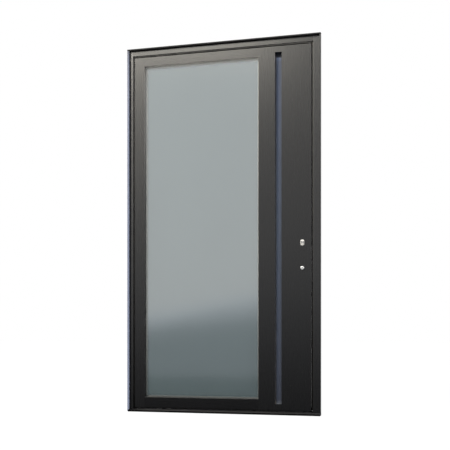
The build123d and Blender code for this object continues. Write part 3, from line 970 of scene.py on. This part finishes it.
# where they sit: plate ends, pivot plates and the frame's anchor holes
fixing = {"inset": 0.012, "pivotRow": 0.011, "pivotScale": 1.25, "pivotPlate": 0.006}
anchor = {"end": 0.2, "count": 4}
faceplate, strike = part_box("lock_faceplate"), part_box("strike_plate")
floorPlate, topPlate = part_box("floor_pivot"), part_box("top_pivot")
leftInner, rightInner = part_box("left_jamb_inner"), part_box("right_jamb_inner")
leafScrews = []
for z in shrunk((faceplate[0][2], faceplate[1][2]), fixing["inset"]):
    leafScrews.append(((faceplate[1][0], 0, z), (1, 0, 0), 1.0))
frameScrews = []
for z in shrunk((strike[0][2], strike[1][2]), fixing["inset"]):
    frameScrews.append(((strike[0][0], 0, z), (-1, 0, 0), 1.0))
underPlate = topPlate[1][2] - fixing["pivotPlate"]
for x in shrunk((floorPlate[0][0], floorPlate[1][0]), fixing["inset"]):
    for y in (-fixing["pivotRow"], fixing["pivotRow"]):
        frameScrews.append(((x, y, sillHigh[2]), (0, 0, 1), fixing["pivotScale"]))
        frameScrews.append(((x, y, underPlate), (0, 0, -1), fixing["pivotScale"]))
jambCaps = []
anchorY = (leftInner[0][1] + leftInner[1][1]) / 2
anchorRun = (cadBox[1][2] - 2 * anchor["end"]) / (anchor["count"] - 1)
for i in range(anchor["count"]):
    level = anchor["end"] + i * anchorRun
    jambCaps.append(((leftInner[1][0], anchorY, level), (1, 0, 0), 1.0))
    jambCaps.append(((rightInner[0][0], anchorY, level), (-1, 0, 0), 1.0))
steelHead = {
    "Head Radius": 0.0044,
    "Head Height": 0.0009,
    "Socket Share": 0.46,
    "Turn Seed": 11,
    "Finish": satinSteel,
}
capHead = {
    "Head Radius": 0.0078,
    "Head Height": 0.0014,
    "Socket Share": 0.16,
    "Turn Seed": 5,
    "Finish": polyamide,
}
screwRow("leafScrews", "leaf", leafScrews, steelHead)
screwRow("frameScrews", "frame", frameScrews, steelHead)
screwRow("jambCaps", "frame", jambCaps, capHead)
print("screws and caps:", len(leafScrews) + len(frameScrews) + len(jambCaps))

# pile strip under the head, behind its seal: it keeps draught and light out over the leaf
pile = {
    "inset": 0.004,
    "y": 0.029,
    "rail": (0.0068, 0.0022),
    "shoulder": 0.6,
    "bevel": 0.0008,
    "crease": 20,
    "pitch": 0.0026,
    "root": 0.0022,
    "tip": 0.0017,
    "bite": 0.001,
    "gap": 0.0018,
    "sides": 6,
    "lean": ((3.09, -0.05, 0), (3.19, 0.05, 6.28)),  # hangs down, a little askew
}


def pileNodes(spec):
    group = bpy.data.node_groups.new("pileRow", "GeometryNodeTree")
    sockets = group.interface
    for name, kind in (
        ("Base", "NodeSocketGeometry"),
        ("Start", "NodeSocketVector"),
        ("Pitch", "NodeSocketVector"),
        ("Count", "NodeSocketInt"),
        ("Root Radius", "NodeSocketFloat"),
        ("Tip Radius", "NodeSocketFloat"),
        ("Length", "NodeSocketFloat"),
        ("Lean Seed", "NodeSocketInt"),
        ("Finish", "NodeSocketMaterial"),
    ):
        sockets.new_socket(name, in_out="INPUT", socket_type=kind)
    sockets.new_socket("Pile", in_out="OUTPUT", socket_type="NodeSocketGeometry")
    add = group.nodes.new
    link = group.links.new
    given = add("NodeGroupInput")
    result = add("NodeGroupOutput")
    line = add("GeometryNodeMeshLine")
    link(given.outputs["Count"], line.inputs["Count"])
    link(given.outputs["Start"], line.inputs["Start Location"])
    link(given.outputs["Pitch"], line.inputs["Offset"])
    tuft = add("GeometryNodeMeshCone")
    tuft.inputs["Vertices"].default_value = spec["sides"]
    link(given.outputs["Root Radius"], tuft.inputs["Radius Bottom"])
    link(given.outputs["Tip Radius"], tuft.inputs["Radius Top"])
    link(given.outputs["Length"], tuft.inputs["Depth"])
    lean = add("FunctionNodeRandomValue")
    lean.data_type = "FLOAT_VECTOR"
    lean.inputs[0].default_value, lean.inputs[1].default_value = spec["lean"]
    link(given.outputs["Lean Seed"], lean.inputs["Seed"])
    place = add("GeometryNodeInstanceOnPoints")
    link(line.outputs["Mesh"], place.inputs["Points"])
    link(tuft.outputs["Mesh"], place.inputs["Instance"])
    link(lean.outputs[0], place.inputs["Rotation"])
    real = add("GeometryNodeRealizeInstances")
    link(place.outputs[0], real.inputs[0])
    paint = add("GeometryNodeSetMaterial")
    link(real.outputs[0], paint.inputs["Geometry"])
    link(given.outputs["Finish"], paint.inputs["Material"])
    link(paint.outputs[0], result.inputs["Pile"])
    return group


def pileRail(spec):
    bm = bmesh.new()
    width, drop = spec["rail"]
    half, y = width / 2, spec["y"]
    xs = shrunk((lintel[0][0], lintel[1][0]), spec["inset"] / 2)
    rings = []
    for reach, z in ((half, 0), (half, spec["shoulder"] * drop), (half - spec["bevel"], drop)):
        rings.append(levelRing(xs, (y - reach, y + reach), lintel[0][2] - z))
    capped(bm, loftRings(bm, rings))
    return finished("pileRail", bm, satinSteel, "frame", spec["crease"])


pileRail(pile)
pileStart = (lintel[0][0] + pile["inset"], pile["y"], lintel[0][2] - pile["bite"])
pileValues = {
    "Start": pileStart,
    "Pitch": (pile["pitch"], 0.0, 0.0),
    "Count": int((lintel[1][0] - lintel[0][0] - 2 * pile["inset"]) / pile["pitch"]) + 1,
    "Root Radius": pile["root"],
    "Tip Radius": pile["tip"],
    "Length": pileStart[2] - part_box("top_rail_inner")[1][2] - pile["gap"],
    "Lean Seed": 23,
    "Finish": polyamide,
}
grown("pileTufts", "frame", bpy.data.meshes.new("pileBase"), pileNodes(pile), pileValues)
print("pile strip:", pileValues["Count"], "tufts")

# camera: the photograph's own standpoint
view = {"place": (1.4944, -5.588, 0.5443), "turn": 14.851, "sensor": 36, "lens": 68.0, "lift": 0.239}
cam = bpy.data.objects.new("camera", bpy.data.cameras.new("camera"))
cam.data.sensor_width = view["sensor"]
cam.data.lens = view["lens"]
cam.data.shift_y = view["lift"]
cam.location = view["place"]
cam.rotation_euler = (math.radians(90), 0, math.radians(view["turn"]))
bpy.context.scene.collection.objects.link(cam)
bpy.context.scene.camera = cam

# floor and world: both look white to the camera and in reflections, and the floor keeps a faint shadow
studio = {"floor": 0.82, "floorHold": 0.94, "floorGlow": 1.04, "floorReach": 40, "sky": 0.55}


def seenDirectly(tree):
    path = tree.nodes.new("ShaderNodeLightPath")
    total = path.outputs["Is Camera Ray"]
    for ray in ("Is Glossy Ray", "Is Transmission Ray"):
        total = worked(tree, "MAXIMUM", total, path.outputs[ray])
    return total


def stageSheet(name, verts, faces, mat):
    mesh = bpy.data.meshes.new(name)
    mesh.from_pydata(verts, [], faces)
    mesh.materials.append(mat)
    obj = bpy.data.objects.new(name, mesh)
    bpy.context.scene.collection.objects.link(obj)
    return obj


def floorFinish(spec):
    mat, tree, out = emptyMaterial("floorFinish")
    matt = tree.nodes.new("ShaderNodeBsdfDiffuse")
    matt.inputs["Color"].default_value = (spec["floor"], spec["floor"], spec["floor"], 1)
    glow = tree.nodes.new("ShaderNodeEmission")
    glow.inputs["Strength"].default_value = spec["floorGlow"]
    blend = tree.nodes.new("ShaderNodeMixShader")
    tree.links.new(worked(tree, "MULTIPLY", seenDirectly(tree), spec["floorHold"]), blend.inputs["Fac"])
    tree.links.new(matt.outputs[0], blend.inputs[1])
    tree.links.new(glow.outputs[0], blend.inputs[2])
    tree.links.new(blend.outputs[0], out.inputs["Surface"])
    return mat


floorSpan = (-studio["floorReach"], studio["floorReach"])
stageSheet("floor", levelRing(floorSpan, floorSpan, 0), [(0, 1, 2, 3)], floorFinish(studio))

world = bpy.data.worlds.new("studio")
bpy.context.scene.world = world
world.use_nodes = True
sky = world.node_tree.nodes["Background"]
sky.inputs["Color"].default_value = (1, 1, 1, 1)
skyLevel = spread(world.node_tree, seenDirectly(world.node_tree), studio["sky"], 1.0, 0, 1)
world.node_tree.links.new(skyLevel, sky.inputs["Strength"])

# dark cloth in front of the set, lying and rising at its end, seen only in reflections: a glowing sheet,
# dim where it lies and brighter up its rising end, which paints the reflections in the metal and glass
cloth = {
    "near": 0.062,
    "far": 0.238,
    "tint": (0.95, 0.985, 1.06),
    "edge": 4.3,
    "blur": 0.1,
    "lift": 0.004,
    "back": 0.09,
    "half": 30,
    "end": 10.0,
    "rise": ((-14, 0.45), (-4.2, 0.87), (-1.4, 1.35), (14, 1.7)),
    "levels": (0.0, 0.55, 1.0),
    "glow": 0.78,
}


def paintedReflectionFinish(spec):
    mat, tree, out = emptyMaterial("paintedReflectionFinish")
    glow = tree.nodes.new("ShaderNodeEmission")
    glow.inputs["Color"].default_value = (*spec["tint"], 1)
    # painted reflection: a dim glow near the door, brighter farther out, and brighter again up the rising
    # end
    band = (-spec["edge"] - spec["blur"], -spec["edge"] + spec["blur"])
    lie = spread(tree, placeOf(tree)["Y"], spec["far"], spec["near"], *band)
    lit = tree.nodes.new("ShaderNodeAttribute")
    lit.attribute_name = "fade"
    rise = spread(tree, lit.outputs["Fac"], 0, spec["glow"], 0, 1)
    tree.links.new(worked(tree, "ADD", lie, rise), glow.inputs["Strength"])
    tree.links.new(glow.outputs[0], out.inputs["Surface"])
    return mat


def reflectionOnly(obj):
    obj.visible_camera = False
    obj.visible_diffuse = False
    obj.visible_transmission = False
    obj.visible_shadow = False
    obj.visible_volume_scatter = False


clothMat = paintedReflectionFinish(cloth)
clothLie = levelRing((-cloth["half"], cloth["half"]), (-cloth["end"], -cloth["back"]), cloth["lift"])
reflectionOnly(stageSheet("clothLie", clothLie, [(0, 1, 2, 3)], clothMat))


def clothUpright(spec):
    rise, levels = spec["rise"], spec["levels"]
    count = len(rise)
    verts = [(x, -spec["end"], top * share) for share in levels for x, top in rise]
    faces = []
    for row in range(len(levels) - 1):
        for a in range(row * count, row * count + count - 1):
            faces.append((a, a + 1, a + 1 + count, a + count))
    obj = stageSheet("clothRise", verts, faces, clothMat)
    fade = obj.data.attributes.new("fade", "FLOAT", "POINT")
    topRow = (len(levels) - 1) * count
    for i in range(len(verts)):
        fade.data[i].value = 1.0 if i >= topRow else 0.0
    return obj


reflectionOnly(clothUpright(cloth))

# lamps
lamps = {
    "highLeft": {
        "place": (-2.35, -4.6, 5.53),
        "aim": (-0.2, 0, 1.6),
        "size": (3.6, 2.2),
        "power": 485,
        "colour": (1, 0.95, 0.84),
    },
    "lowLeft": {
        "place": (-3.6, -4.4, 3.7),
        "aim": (-0.4, 0, 1.6),
        "size": (1.5, 2.4),
        "power": 90,
        "colour": (1, 0.95, 0.86),
    },
    "frontFill": {
        "place": (3.6, -6.5, 3.4),
        "aim": (0, 0, 1.2),
        "size": (3.0, 3.0),
        "power": 80,
        "colour": (1, 1, 1),
    },
}
for name, lamp in lamps.items():
    light = bpy.data.lights.new(name, "AREA")
    light.shape = "RECTANGLE"
    light.size, light.size_y = lamp["size"]
    light.energy = lamp["power"]
    light.color = lamp["colour"]
    obj = bpy.data.objects.new(name, light)
    obj.location = lamp["place"]
    obj.rotation_euler = (Vector(lamp["aim"]) - Vector(lamp["place"])).to_track_quat("-Z", "Y").to_euler()
    bpy.context.scene.collection.objects.link(obj)

bpy.context.scene.view_settings.view_transform = "Standard"
print("studio set")

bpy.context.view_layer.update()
